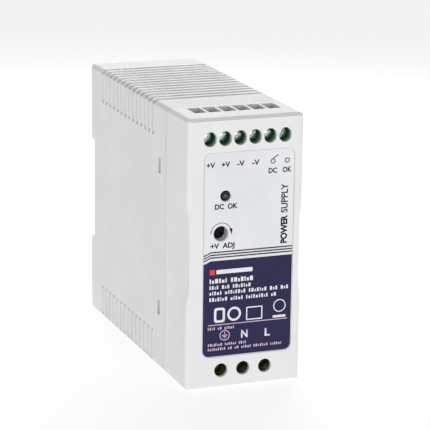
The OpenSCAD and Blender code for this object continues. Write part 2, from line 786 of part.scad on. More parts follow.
module output_rectifier() {
    color([0.09, 0.09, 0.1]) {
        block([face_x + 4, -51, 16.1], [face_x + 13.2, -41, 20.6]);
        difference() {
            block([face_x + 12, -51, 16.1], [face_x + 20, -41, 17.4]);
            rod_z(face_x + 17, -46, 1.7, 15, 18);
        }
        for (i = [-1, 0, 1]) block([face_x, -46 + i * 2.54 - 0.35, 18], [face_x + 5, -46 + i * 2.54 + 0.35, 18.5]);
    }
}

// screw through a device's tab, head first, with its nut behind the plate
module tab_screw() {
    rod_z(0, 0, 1.5, -3.8, 2);
    rod_z(0, 0, 2.7, 1.5, 3.6);
    translate([0, 0, -3.9]) cylinder(r = 3, h = 1.8, $fn = 6);
}

module heatsink_screws() {
    color([0.7, 0.7, 0.72]) {
        translate([face_x + 17, -28.2, -5]) rotate([90, 0, 0]) tab_screw();
        translate([face_x + 17, -46, 16]) tab_screw();
    }
}

module output_capacitors() {
    color([0.12, 0.14, 0.3]) translate([0, 0, parts_high]) for (y = [-66, -54.6, -43.2]) difference() {
        rod_x(y, 30.5, 5, face_x, face_x + 22);
        translate([face_x + 2.4, y, 30.5]) rotate([0, 90, 0]) rotate_extrude() translate([5.2, 0]) circle(r = 0.6);
    }
}

module output_inductor_core() {
    color([0.75, 0.68, 0.3]) translate([0, 0, parts_high]) difference() {
        rod_x(-28.4, 29, 7.6, face_x + 1.8, face_x + 9.4);
        rod_x(-28.4, 29, 4, face_x, face_x + 11);
    }
}

// wire turns around the ring, each a square loop
module output_inductor_coil() {
    color([0.72, 0.36, 0.14]) translate([face_x + 5.6, -28.4, 29 + parts_high])
        for (a = [0 : 30 : 330]) rotate([a, 0, 0]) difference() {
            block([-5.1, 2.9, -0.55], [5.1, 8.8, 0.55]);
            block([-3.85, 3.9, -1], [3.85, 7.7, 1]);
        }
}

module relay() {
    color([0.15, 0.3, 0.55]) translate([0, 0, parts_high]) block([face_x, -19, 19], [face_x + 15, -6, 39]);
}

module controller_chip() {
    color([0.07, 0.07, 0.08]) translate([0, parts_front, 0]) {
        block([face_x + 0.1, -72.5, -21], [face_x + 1.7, -68.6, -16]);
        for (i = [0 : 3])
            for (s = [-1, 1])
                block([face_x, -70.55 + s * 2.4 - 0.5, -20.5 + i * 1.27], [face_x + 0.7, -70.55 + s * 2.4 + 0.5, -20.1 + i * 1.27]);
    }
}

module optocouplers() {
    color([0.07, 0.07, 0.08]) translate([0, parts_front, 0]) for (z = [-8, 2]) {
        block([face_x + 0.6, -73, z - 2.3], [face_x + 4.1, -66.6, z + 2.3]);
        for (s = [-1, 1])
            for (dz = [-1.27, 1.27])
                block([face_x, -69.8 + s * 3.4 - 0.25, z + dz - 0.3], [face_x + 2.4, -69.8 + s * 3.4 + 0.25, z + dz + 0.3]);
    }
}

module small_parts() {
    color([0.2, 0.19, 0.17]) translate([0, parts_front, 0]) {
        for (i = [0 : 5]) block([face_x, -84, -24 + i * 4], [face_x + 0.7, -82, -22.8 + i * 4]);
        for (i = [0 : 4]) block([face_x, -80, -23 + i * 5], [face_x + 1, -78.2, -20.6 + i * 5]);
        for (i = [0 : 3]) block([face_x, -74, 11 + i * 4], [face_x + 0.8, -72.4, 12.2 + i * 4]);
    }
}

// ---------- nodes ----------

rear_housing();
front_cover();
front_label();
rail_latch();
latch_spring();
main_board();
output_board();
input_board();
output_header();
input_header();
output_terminal_block();
input_terminal_block();
output_contacts();
input_contacts();
output_screw(0);  // output_screw_1
output_screw(1);  // output_screw_2
output_screw(2);  // output_screw_3
output_screw(3);  // output_screw_4
output_screw(4);  // output_screw_5
output_screw(5);  // output_screw_6
input_screw(0);  // input_screw_1
input_screw(1);  // input_screw_2
input_screw(2);  // input_screw_3
output_clamp(0);  // output_clamp_1
output_clamp(1);  // output_clamp_2
output_clamp(2);  // output_clamp_3
output_clamp(3);  // output_clamp_4
output_clamp(4);  // output_clamp_5
output_clamp(5);  // output_clamp_6
input_clamp(0);  // input_clamp_1
input_clamp(1);  // input_clamp_2
input_clamp(2);  // input_clamp_3
led_lamp();
led_leads();
trimmer_body();
trimmer_rotor();
fuse();
inrush_thermistor();
surge_varistor();
x_capacitor();
y_capacitors();
line_choke_core();
line_choke_windings();
bridge_rectifier();
bulk_capacitor();
primary_heatsink();
switch_transistor();
transformer_core();
transformer_bobbin();
transformer_winding();
secondary_heatsink();
output_rectifier();
heatsink_screws();
output_capacitors();
output_inductor_core();
output_inductor_coil();
relay();
controller_chip();
optocouplers();
small_parts();
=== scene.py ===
import json
import math

import bmesh
import bpy
from mathutils import Matrix, Vector


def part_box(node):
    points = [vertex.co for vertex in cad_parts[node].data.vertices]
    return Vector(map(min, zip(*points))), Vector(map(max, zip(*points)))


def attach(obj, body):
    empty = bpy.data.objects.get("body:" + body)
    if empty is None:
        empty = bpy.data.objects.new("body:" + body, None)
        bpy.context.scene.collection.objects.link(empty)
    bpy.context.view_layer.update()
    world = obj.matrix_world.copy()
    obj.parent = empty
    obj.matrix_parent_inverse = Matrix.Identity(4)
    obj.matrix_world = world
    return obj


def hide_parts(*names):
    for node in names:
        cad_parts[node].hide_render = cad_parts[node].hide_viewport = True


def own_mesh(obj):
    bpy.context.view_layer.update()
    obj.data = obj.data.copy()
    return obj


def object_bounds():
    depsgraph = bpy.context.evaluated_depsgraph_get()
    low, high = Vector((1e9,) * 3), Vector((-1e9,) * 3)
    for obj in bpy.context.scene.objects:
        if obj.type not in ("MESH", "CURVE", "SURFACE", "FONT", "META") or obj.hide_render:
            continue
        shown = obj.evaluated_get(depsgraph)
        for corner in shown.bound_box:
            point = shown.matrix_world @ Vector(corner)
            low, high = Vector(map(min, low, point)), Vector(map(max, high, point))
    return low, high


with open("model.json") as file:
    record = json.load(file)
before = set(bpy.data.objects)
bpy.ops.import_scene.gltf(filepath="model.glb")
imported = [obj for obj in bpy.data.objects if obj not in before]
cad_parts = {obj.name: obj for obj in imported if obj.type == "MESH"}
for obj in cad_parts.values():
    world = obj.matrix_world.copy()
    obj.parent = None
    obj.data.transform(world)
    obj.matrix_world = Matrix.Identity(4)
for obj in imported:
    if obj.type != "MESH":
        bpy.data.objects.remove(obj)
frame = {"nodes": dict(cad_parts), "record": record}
cad_low, cad_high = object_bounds()

MM = 0.001

# camera: place in mm, turn to the right, tip downwards and roll in degrees, lens and sensor in mm
CAMERA_PLACE = (-254.97, -730.08, 190.31)
CAMERA_YAW, CAMERA_PITCH, CAMERA_ROLL = 21.085, 14.6, 0.78
CAMERA_LENS, CAMERA_SENSOR = 183.63, 36

# soft lights: direction from the object, distance and size in metres, brightness on a facing white
SOFTBOXES = {
    "key": ((0.3, 0.72, 0.64), 0.45, 0.3, 0.67),
    "front_fill": ((0.02, -0.98, 0.09), 1.6, 0.6, 0.4),
    "left_fill": ((-0.97, -0.1, 0.1), 1.6, 0.8, 0.25),
}
WORLD_LEVEL = 0.3
FLOOR_GLOW = 0.78
FLOOR_RADIUS = 4.0

# places taken from the frame, and the thickness of one layer of ink
label_low, label_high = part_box("front_label")
FRONT = label_low.y
FLOOR_Z = cad_low.z
INK = 0.02 * MM


def middle(node):
    low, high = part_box(node)
    return (low + high) / 2


# ---------- camera ----------


def add_camera():
    """Camera below a long lens, turned to the right and tipped down on the box."""
    place = Vector(CAMERA_PLACE) * MM
    yaw, pitch, roll = (math.radians(a) for a in (CAMERA_YAW, CAMERA_PITCH, CAMERA_ROLL))
    ahead = Vector((math.sin(yaw) * math.cos(pitch), math.cos(yaw) * math.cos(pitch), -math.sin(pitch)))
    level = Vector((math.cos(yaw), -math.sin(yaw), 0))
    upright = level.cross(ahead)
    right = level * math.cos(roll) + upright * math.sin(roll)
    up = upright * math.cos(roll) - level * math.sin(roll)
    data = bpy.data.cameras.new("camera")
    data.sensor_width = CAMERA_SENSOR
    data.lens = CAMERA_LENS
    data.clip_start = 0.01
    data.clip_end = 20
    camera = bpy.data.objects.new("camera", data)
    bpy.context.scene.collection.objects.link(camera)
    turn = Matrix((right, up, -ahead)).transposed().to_4x4()
    camera.matrix_world = Matrix.Translation(place) @ turn
    bpy.context.scene.camera = camera


# ---------- node graphs ----------


class Graph:
    """Short names for the nodes that the materials are made of."""

    def __init__(self, name):
        self.material = bpy.data.materials.new(name)
        self.material.use_nodes = True
        self.nodes = self.material.node_tree.nodes
        self.links = self.material.node_tree.links
        self.shader = next(n for n in self.nodes if n.type == "BSDF_PRINCIPLED")
        self.place = self.nodes.new("ShaderNodeTexCoord").outputs["Object"]

    def link(self, source, target):
        self.links.new(source, target)

    def put(self, value, socket):
        """Joins an output to the socket, or sets the socket to a plain value."""
        if isinstance(value, bpy.types.NodeSocket):
            self.link(value, socket)
        else:
            socket.default_value = value

    def stretched(self, scale):
        node = self.nodes.new("ShaderNodeMapping")
        node.inputs["Scale"].default_value = scale
        self.link(self.place, node.inputs["Vector"])
        return node.outputs[0]

    def noise(self, size_mm, detail=4.0, rough=0.55, stretch=None):
        node = self.nodes.new("ShaderNodeTexNoise")
        node.inputs["Scale"].default_value = 1 / (size_mm * MM)
        node.inputs["Detail"].default_value = detail
        node.inputs["Roughness"].default_value = rough
        self.link(self.stretched(stretch) if stretch else self.place, node.inputs["Vector"])
        return node.outputs[0]

    def cells(self, size_mm):
        node = self.nodes.new("ShaderNodeTexVoronoi")
        node.inputs["Scale"].default_value = 1 / (size_mm * MM)
        self.link(self.place, node.inputs["Vector"])
        return node.outputs["Distance"]

    def spread(self, value, low, high, to_low, to_high):
        node = self.nodes.new("ShaderNodeMapRange")
        node.inputs["From Min"].default_value = low
        node.inputs["From Max"].default_value = high
        node.inputs["To Min"].default_value = to_low
        node.inputs["To Max"].default_value = to_high
        self.link(value, node.inputs["Value"])
        return node.outputs[0]

    def math(self, kind, a, b):
        node = self.nodes.new("ShaderNodeMath")
        node.operation = kind
        self.put(a, node.inputs[0])
        self.put(b, node.inputs[1])
        return node.outputs[0]

    def blend(self, factor, a, b):
        node = self.nodes.new("ShaderNodeMix")
        node.data_type = "RGBA"
        self.put(factor, node.inputs[0])
        self.put(a, node.inputs[6])
        self.put(b, node.inputs[7])
        return node.outputs[2]

    def bump(self, height, strength, depth_mm, before=None):
        node = self.nodes.new("ShaderNodeBump")
        node.inputs["Strength"].default_value = strength
        node.inputs["Distance"].default_value = depth_mm * MM
        self.link(height, node.inputs["Height"])
        if before:
            self.link(before, node.inputs["Normal"])
        return node.outputs[0]

    def edges(self, radius_mm):
        """1 on outer and inner edges, 0 on flat faces, with a softened normal beside it."""
        bevel = self.nodes.new("ShaderNodeBevel")
        bevel.samples = 4
        bevel.inputs["Radius"].default_value = radius_mm * MM
        plain = self.nodes.new("ShaderNodeNewGeometry").outputs["Normal"]
        dot = self.nodes.new("ShaderNodeVectorMath")
        dot.operation = "DOT_PRODUCT"
        self.link(bevel.outputs[0], dot.inputs[0])
        self.link(plain, dot.inputs[1])
        return self.spread(dot.outputs["Value"], 0.82, 0.995, 1.0, 0.0), bevel.outputs[0]


def rgb(red, green, blue):
    """Linear colour from the 0 to 255 values that a colour picker shows."""
    def linear(v):
        v /= 255
        return v / 12.92 if v <= 0.04045 else ((v + 0.055) / 1.055) ** 2.4
    return (linear(red), linear(green), linear(blue), 1.0)


def scaled(colour, factor):
    return tuple(min(1.0, c * factor) for c in colour[:3]) + (1.0,)


def plastic(name, colour, rough=0.5, grain=0.35, depth=0.012, tint=0.05, painted_edge_highlight=0.25, gloss=0.0,
            edge=0.25, shine=0.5):
    """Moulded plastic: fine grain, faint blotches, glossier edges painted lighter as a highlight. Grain,
    depth and edge are in mm.
    """
    g = Graph(name)
    g.shader.inputs["Specular IOR Level"].default_value = shine
    edge_mask, soft = g.edges(edge)
    blotch = g.noise(14.0, 3.0)
    speck = g.noise(grain, 5.0, 0.65)
    cloudy = g.spread(blotch, 0.35, 0.65, 0.0, 1.0)
    base = g.blend(cloudy, scaled(colour, 1 - tint), scaled(colour, 1 + tint * 0.6))
    # edge mask with noise: it lowers the roughness there as polish, and lightens the base colour there as a
    # painted highlight
    polish_and_painted_highlight = g.math("MULTIPLY", edge_mask, g.spread(g.noise(1.7, 4.0), 0.4, 0.62, 0.15, 1.0))
    shade = g.blend(g.math("MULTIPLY", polish_and_painted_highlight, painted_edge_highlight), base, scaled(colour, 1.25))
    g.link(shade, g.shader.inputs["Base Color"])
    matt = g.spread(speck, 0.3, 0.7, rough - 0.07, rough + 0.07)
    g.link(g.math("SUBTRACT", matt, g.math("MULTIPLY", polish_and_painted_highlight, 0.14)), g.shader.inputs["Roughness"])
    g.link(g.bump(speck, 0.5, depth, soft), g.shader.inputs["Normal"])
    g.shader.inputs["Coat Weight"].default_value = gloss
    g.shader.inputs["Coat Roughness"].default_value = 0.12
    return g.material


def metal(name, colour, rough=0.32, stretch=(1, 1, 1), grain=0.25, depth=0.006, stain=0.25):
    """Worked metal: drawn or brushed streaks, dull stains, edges partly worn bright and partly painted
    lighter as a highlight.
    """
    g = Graph(name)
    edge_mask, soft = g.edges(0.12)
    streak = g.noise(grain, 6.0, 0.7, stretch)
    cloud = g.noise(2.6, 5.0, 0.6)
    base = g.blend(g.spread(cloud, 0.38, 0.68, 0.0, stain), colour, scaled(colour, 0.55))
    # edges lightened in colour: partly worn bare metal, partly a painted highlight
    g.link(g.blend(g.math("MULTIPLY", edge_mask, 0.5), base, scaled(colour, 1.3)), g.shader.inputs["Base Color"])
    dull = g.spread(streak, 0.3, 0.7, rough - 0.08, rough + 0.12)
    g.link(g.math("SUBTRACT", dull, g.math("MULTIPLY", edge_mask, 0.1)), g.shader.inputs["Roughness"])
    g.link(g.bump(streak, 0.45, depth, soft), g.shader.inputs["Normal"])
    g.shader.inputs["Metallic"].default_value = 1.0
    return g.material


def enamelled_wire(name, colour, pitch_mm):
    """Wire laid turn beside turn, seen as fine parallel ridges across X, with painted shade between the turns
    and a painted highlight on their tops.
    """
    g = Graph(name)
    wave = g.nodes.new("ShaderNodeTexWave")
    wave.bands_direction = "X"
    wave.inputs["Scale"].default_value = 1 / (pitch_mm * MM * 3.183)
    wave.inputs["Distortion"].default_value = 0.4
    g.link(g.place, wave.inputs["Vector"])
    ridge_and_painted_shade = wave.outputs["Fac"]
    # painted shade in the grooves between turns and painted highlight on the tops of the turns, in step with
    # the bump
    base = g.blend(ridge_and_painted_shade, scaled(colour, 0.45), scaled(colour, 1.15))
    shade = g.blend(g.spread(g.noise(3.0), 0.4, 0.7, 0.0, 0.4), base, scaled(colour, 0.7))
    g.link(shade, g.shader.inputs["Base Color"])
    g.link(g.spread(g.noise(0.5), 0.3, 0.7, 0.2, 0.36), g.shader.inputs["Roughness"])
    g.link(g.bump(ridge_and_painted_shade, 0.8, 0.12), g.shader.inputs["Normal"])
    g.shader.inputs["Metallic"].default_value = 0.75
    g.shader.inputs["Coat Weight"].default_value = 0.4
    return g.material


def board_material(name, colour):
    """Solder mask with copper tracks showing as faint raised lines."""
    g = Graph(name)
    edge_mask, soft = g.edges(0.1)
    tracks = g.nodes.new("ShaderNodeTexBrick")
    tracks.inputs["Scale"].default_value = 140.0
    tracks.inputs["Mortar Size"].default_value = 0.05
    g.link(g.stretched((1, 1, 0.6)), tracks.inputs["Vector"])
    line = tracks.outputs["Fac"]
    base = g.blend(g.spread(g.noise(6.0), 0.35, 0.65, 0.0, 1.0), scaled(colour, 0.85), scaled(colour, 1.15))
    traced = g.blend(g.math("MULTIPLY", line, 0.35), base, scaled(colour, 1.9))
    g.link(g.blend(g.math("MULTIPLY", edge_mask, 0.6), traced, rgb(176, 170, 120)), g.shader.inputs["Base Color"])
    g.link(g.spread(g.noise(0.8), 0.3, 0.7, 0.26, 0.42), g.shader.inputs["Roughness"])
    g.link(g.bump(line, 0.4, 0.03, soft), g.shader.inputs["Normal"])
    g.shader.inputs["Coat Weight"].default_value = 0.3
    return g.material


def ferrite_material(name, colour):
    """Pressed and sintered powder with tiny pits."""
    g = Graph(name)
    edge_mask, soft = g.edges(0.2)
    pits = g.cells(0.35)
    powder = g.spread(g.noise(0.6, 6.0), 0.35, 0.65, 0.0, 1.0)
    base = g.blend(powder, scaled(colour, 0.7), scaled(colour, 1.25))
    # painted highlight: the rounded edges are lightened in colour
    g.link(g.blend(g.math("MULTIPLY", edge_mask, 0.5), base, scaled(colour, 1.8)), g.shader.inputs["Base Color"])
    g.link(g.spread(g.noise(0.9), 0.3, 0.7, 0.42, 0.62), g.shader.inputs["Roughness"])
    g.link(g.bump(pits, 0.6, 0.03, soft), g.shader.inputs["Normal"])
    return g.material


def lamp_material(name):
    """Green tinted clear dome, unlit: light sinks into it and the skin stays glossy."""
    g = Graph(name)
    depth = g.spread(g.noise(0.9, 2.0), 0.35, 0.7, 0.0, 1.0)
    g.link(g.blend(depth, rgb(1, 26, 10), rgb(8, 70, 30)), g.shader.inputs["Base Color"])
    g.link(g.spread(g.noise(0.2), 0.3, 0.7, 0.06, 0.14), g.shader.inputs["Roughness"])
    g.link(g.bump(g.noise(0.5, 2.0), 0.15, 0.01), g.shader.inputs["Normal"])
    g.shader.inputs["Transmission Weight"].default_value = 0.35
    g.shader.inputs["IOR"].default_value = 1.5
    g.shader.inputs["Coat Weight"].default_value = 0.35
    g.shader.inputs["Coat Roughness"].default_value = 0.04
    return g.material


def label_material(name):
    """Printed film with a faint stipple and a satin skin."""
    g = Graph(name)
    stipple = g.noise(0.22, 5.0, 0.6)
    cloud = g.spread(g.noise(18.0, 2.0), 0.35, 0.65, 0.0, 1.0)
    g.link(g.blend(cloud, rgb(227, 229, 233), rgb(232, 234, 237)), g.shader.inputs["Base Color"])
    g.link(g.spread(stipple, 0.3, 0.7, 0.34, 0.46), g.shader.inputs["Roughness"])
    g.link(g.bump(stipple, 0.3, 0.006), g.shader.inputs["Normal"])
    g.shader.inputs["Specular IOR Level"].default_value = 0.3
    return g.material


def ink_material(name, colour, rough=0.42):
    """Screen-printed ink: a touch uneven where the mesh of the screen laid it."""
    g = Graph(name)
    screen = g.noise(0.16, 4.0, 0.6)
    uneven = g.spread(g.noise(7.0, 3.0), 0.35, 0.65, 0.0, 1.0)
    base = g.blend(uneven, scaled(colour, 0.94), scaled(colour, 1.06))
    shade = g.blend(g.spread(screen, 0.58, 0.75, 0.0, 0.12), base, scaled(colour, 1.6))
    g.link(shade, g.shader.inputs["Base Color"])
    g.link(g.spread(screen, 0.3, 0.7, rough - 0.05, rough + 0.07), g.shader.inputs["Roughness"])
    g.link(g.bump(screen, 0.3, 0.004), g.shader.inputs["Normal"])
    g.shader.inputs["Specular IOR Level"].default_value = 0.2
    return g.material


# ---------- one material for each slot of the record ----------


def make_slots():
    """The material of every slot that the record names."""
    return {
        "housing_plastic": plastic(
            "housing_plastic", rgb(231, 231, 230), 0.52, 0.5, 0.014, 0.025, 0.15, 0.0, 0.12, 0.3),
        "cover_plastic": plastic(
            "cover_plastic", rgb(234, 234, 234), 0.47, 0.5, 0.012, 0.02, 0.15, 0.0, 0.15, 0.3),
        "label_film": label_material("label_film"),
        "latch_plastic": plastic("latch_plastic", rgb(52, 52, 55), 0.45, 0.4, 0.02, 0.12, 0.5),
        "steel": metal("steel", rgb(196, 198, 202), 0.34, (1, 1, 1)),
        "spring_steel": metal("spring_steel", rgb(172, 174, 178), 0.28, (1, 1, 6), 0.15),
        # the green bias of this steel colour is a painted reflection of the green terminal block around the
        # heads
        "screw_steel": metal("screw_steel", rgb(206, 216, 212), 0.34, (1, 1, 1), 0.3, 0.01, 0.3),
        "screw_brass_tone": metal("screw_brass_tone", rgb(170, 152, 118), 0.34, (1, 1, 1), 0.3, 0.01, 0.5),
        "tinned_brass": metal("tinned_brass", rgb(206, 198, 172), 0.33, (1, 6, 1)),
        "block_green": plastic("block_green", rgb(14, 108, 50), 0.28, 0.5, 0.01, 0.08, 0.4, 0.2, 0.12),
        "block_dark_green": plastic(
            "block_dark_green", rgb(16, 74, 38), 0.38, 0.5, 0.01, 0.08, 0.35, 0.1, 0.12),
        "circuit_board": board_material("circuit_board", rgb(24, 96, 48)),
        "header_black": plastic("header_black", rgb(30, 30, 32), 0.42, 0.3, 0.01, 0.1, 0.3),
        "led_green": lamp_material("led_green"),
        "trimmer_blue": plastic("trimmer_blue", rgb(14, 26, 84), 0.4, 0.4, 0.008, 0.08, 0.3, 0.0, 0.1, 0.3),
        "trimmer_navy": plastic("trimmer_navy", rgb(6, 7, 26), 0.5, 0.3, 0.008, 0.1, 0.2, 0.0, 0.1, 0.15),
        "moulded_black": plastic("moulded_black", rgb(26, 26, 28), 0.55, 0.3, 0.02, 0.15, 0.3),
        "coated_blue": plastic("coated_blue", rgb(38, 84, 168), 0.28, 0.9, 0.03, 0.1, 0.2, 0.4),
        "capacitor_yellow": plastic("capacitor_yellow", rgb(222, 184, 44), 0.36, 0.4, 0.01, 0.06, 0.3, 0.1),
        "ferrite": ferrite_material("ferrite", rgb(56, 56, 59)),
        "ferrite_yellow": ferrite_material("ferrite_yellow", rgb(196, 180, 84)),
        "copper_wire": enamelled_wire("copper_wire", rgb(206, 116, 52), 0.8),
        "can_black": plastic("can_black", rgb(40, 42, 50), 0.3, 0.6, 0.008, 0.08, 0.35, 0.3),
        "can_navy": plastic("can_navy", rgb(34, 40, 92), 0.28, 0.6, 0.008, 0.08, 0.35, 0.3),
        "heatsink_aluminium": metal("heatsink_aluminium", rgb(208, 210, 213), 0.36, (1, 1, 12), 0.4, 0.012),
        "tape_yellow": plastic("tape_yellow", rgb(226, 190, 58), 0.26, 1.2, 0.02, 0.08, 0.15, 0.35),
        "relay_blue": plastic("relay_blue", rgb(36, 78, 158), 0.3, 0.4, 0.008, 0.06, 0.3, 0.2),
    }


# width of the rounding of edges, in mm
EDGE_WIDTHS = {
    "rear_housing": 0.16,
    "front_cover": 0.12,
    "front_label": 0.03,
    "rail_latch": 0.22,
    "output_terminal_block": 0.08,
    "input_terminal_block": 0.08,
    "transformer_core": 0.25,
    "bulk_capacitor": 0.3,
    "relay": 0.3,
    "x_capacitor": 0.4,
    "primary_heatsink": 0.15,
    "secondary_heatsink": 0.15,
}
SMALL_EDGE = 0.06
LEFT_AS_MADE = ("latch_spring", "led_lamp")


def round_edges(node, width_mm):
    """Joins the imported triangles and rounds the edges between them."""
    mesh = node.data
    if "custom_normal" in mesh.attributes:
        mesh.attributes.remove(mesh.attributes["custom_normal"])
    mesh.polygons.foreach_set("use_smooth", [True] * len(mesh.polygons))
    weld = node.modifiers.new("weld", "WELD")
    weld.merge_threshold = 0.0000005
    bevel = node.modifiers.new("bevel", "BEVEL")
    bevel.width = width_mm * MM
    bevel.segments = 2
    bevel.limit_method = "ANGLE"
    bevel.angle_limit = math.radians(32)
    bevel.harden_normals = True
    bevel.miter_outer = "MITER_ARC"


def dress_nodes(finishes):
    """Every CAD node gets its slot's material, and all but the round ones get rounded edges."""
    slots = {part["node"]: part["material_slot"] for part in frame["record"]["subparts"]}
    for name, node in frame["nodes"].items():
        node.data.materials.clear()
        node.data.materials.append(finishes[slots[name]])
        if name not in LEFT_AS_MADE:
            round_edges(node, EDGE_WIDTHS.get(name, SMALL_EDGE))


def add_piece(name, mesh, material):
    piece = bpy.data.objects.new(name, mesh)
    bpy.context.scene.collection.objects.link(piece)
    mesh.materials.append(material)
    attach(piece, "supply")
    return piece


# ---------- spring of the rail foot ----------


def add_foot_spring(material):
    """Coil of round wire with closed ends, which the foot squeezes against the housing's lug."""
    low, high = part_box("latch_spring")
    core = (low + high) / 2
    wire, turns, steps, sides = 0.28 * MM, 7, 30, 10
    radius = (high.x - low.x) / 2 - wire
    length = high.z - low.z
    # wire is its radius: a closed turn at each end rises one thickness, and the open turns share the rest
    rise = (length - 6 * wire) / (turns - 2)
    bm = bmesh.new()
    before = []
    for i in range(turns * steps + 1):
        turned = i / steps
        open_turns = min(max(turned - 1, 0), turns - 2)
        lift = wire + (turned - open_turns) * 2 * wire + open_turns * rise
        a = math.tau * turned
        out = Vector((math.cos(a), math.sin(a), 0))
        centre = core + out * radius
        centre.z = low.z + lift
        loop = []
        for k in range(sides):
            b = math.tau * k / sides
            around = out * wire * math.cos(b) + Vector((0, 0, wire * math.sin(b)))
            loop.append(bm.verts.new(centre + around))
        if before:
            for k in range(sides):
                bm.faces.new((before[k - 1], before[k], loop[k], loop[k - 1])).smooth = True
        else:
            bm.faces.new(loop)
        before = loop
    bm.faces.new(before[::-1])
    bmesh.ops.recalc_face_normals(bm, faces=bm.faces)
    mesh = bpy.data.meshes.new("foot_spring")
    bm.to_mesh(mesh)
    bm.free()
    spring = add_piece("foot_spring", mesh, material)
    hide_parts("latch_spring")
    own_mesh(spring)


# ---------- print on the label ----------


def slab(bm, outline, holes, layer):
    """Closed flat plate of ink: outline and holes are lists of (x, z) in metres."""
    edges = []
    for loop in [outline, *holes]:
        verts = [bm.verts.new((x, FRONT - layer * INK, z)) for x, z in loop]
        edges += [bm.edges.new((verts[i - 1], verts[i])) for i in range(len(verts))]
    filled = bmesh.ops.triangle_fill(bm, edges=edges, use_beauty=True)
    faces = [f for f in filled["geom"] if isinstance(f, bmesh.types.BMFace)]
    back = bmesh.ops.extrude_face_region(bm, geom=faces)
    moved = [v for v in back["geom"] if isinstance(v, bmesh.types.BMVert)]
    bmesh.ops.translate(bm, verts=moved, vec=(0, 1.5 * INK, 0))


def bar(x0, z0, x1, z1, radius=0.0, steps=5):
    """Outline of an upright rectangle in mm, with rounded corners, as (x, z) in metres."""
    if radius <= 0:
        return [(x * MM, z * MM) for x, z in ((x0, z0), (x1, z0), (x1, z1), (x0, z1))]
    points = []
    for cx, cz, start in ((x1 - radius, z0 + radius, -90), (x1 - radius, z1 - radius, 0),
                          (x0 + radius, z1 - radius, 90), (x0 + radius, z0 + radius, 180)):
        for i in range(steps + 1):
            a = math.radians(start + 90 * i / steps)
            points.append(((cx + radius * math.cos(a)) * MM, (cz + radius * math.sin(a)) * MM))
    return points


def ring(x, z, radius, steps=40):
    turn = [math.tau * i / steps for i in range(steps)]
    return [((x + radius * math.cos(a)) * MM, (z + radius * math.sin(a)) * MM) for a in turn]


def stroke(points, width):
    """Outline of a line of even width through points in mm, square at its ends."""
    left, right = [], []
    for i, (x, z) in enumerate(points):
        before = points[max(i - 1, 0)]
        after = points[min(i + 1, len(points) - 1)]
        dx, dz = after[0] - before[0], after[1] - before[1]
        length = math.hypot(dx, dz)
        nx, nz = -dz / length * width / 2, dx / length * width / 2
        left.append(((x + nx) * MM, (z + nz) * MM))
        right.append(((x - nx) * MM, (z - nz) * MM))
    return left + right[::-1]


def lettering(bm, layer, words, x, z, height, width, weight=0.03, upward=False):
    """Adds generic legends in plain letters, centred on (x, z) in mm, capitals height mm high."""
    curve = bpy.data.curves.new("letters", "FONT")
    curve.body = words
    curve.offset = weight
    curve.resolution_u = 4
    source = bpy.data.objects.new("letters", curve)
    bpy.context.scene.collection.objects.link(source)
    bpy.context.view_layer.update()
    flat = bpy.data.meshes.new_from_object(source.evaluated_get(bpy.context.evaluated_depsgraph_get()))
    bpy.data.objects.remove(source)
    bpy.data.curves.remove(curve)
    xs = [v.co.x for v in flat.vertices]
    ys = [v.co.y for v in flat.vertices]
    low_x, high_x, low_y, high_y = min(xs), max(xs), min(ys), max(ys)
    letters = bmesh.new()
    letters.from_mesh(flat)
    for v in letters.verts:
        across = (v.co.x - (low_x + high_x) / 2) * width / (high_x - low_x)
        up = (v.co.y - (low_y + high_y) / 2) * height / (high_y - low_y)
        if upward:
            across, up = -up, across
        v.co = Vector(((x + across) * MM, FRONT - layer * INK, (z + up) * MM))
    back = bmesh.ops.extrude_face_region(letters, geom=letters.faces[:])
    moved = [v for v in back["geom"] if isinstance(v, bmesh.types.BMVert)]
    bmesh.ops.translate(letters, verts=moved, vec=(0, 1.5 * INK, 0))
    letters.to_mesh(flat)
    letters.free()
    bm.from_mesh(flat)
    bpy.data.meshes.remove(flat)


def printed(name, material, outlines=(), words=(), layer=1):
    """One piece of ink: outlines are loops or (loop, holes) pairs, words are generic legends."""
    bm = bmesh.new()
    for line in words:
        lettering(bm, layer, **line)
    for outline in outlines:
        loop, holes = outline if isinstance(outline, tuple) else (outline, [])
        slab(bm, loop, holes, layer)
    bmesh.ops.recalc_face_normals(bm, faces=bm.faces)
    mesh = bpy.data.meshes.new(name)
    bm.to_mesh(mesh)
    bm.free()
    return add_piece(name, mesh, material)


def circlet(x, z, radius, thick):
    """Ring of ink."""
    return ring(x, z, radius), [ring(x, z, radius - thick)]


def blocks(x, z, height, groups, width, gap):
    """A row of little plain blocks, in groups with a wider gap, where a line of print would be."""
    row = []
    for count in groups:
        for i in range(count):
            wide = width * (1.2, 0.6, 1.0, 1.4, 0.8)[(i + count) % 5]
            row.append(bar(x, z - height / 2, x + wide, z + height * (0.5, 0.5, 0.2)[(2 * i + count) % 3]))
            x += wide + gap
        x += width + gap
    return row


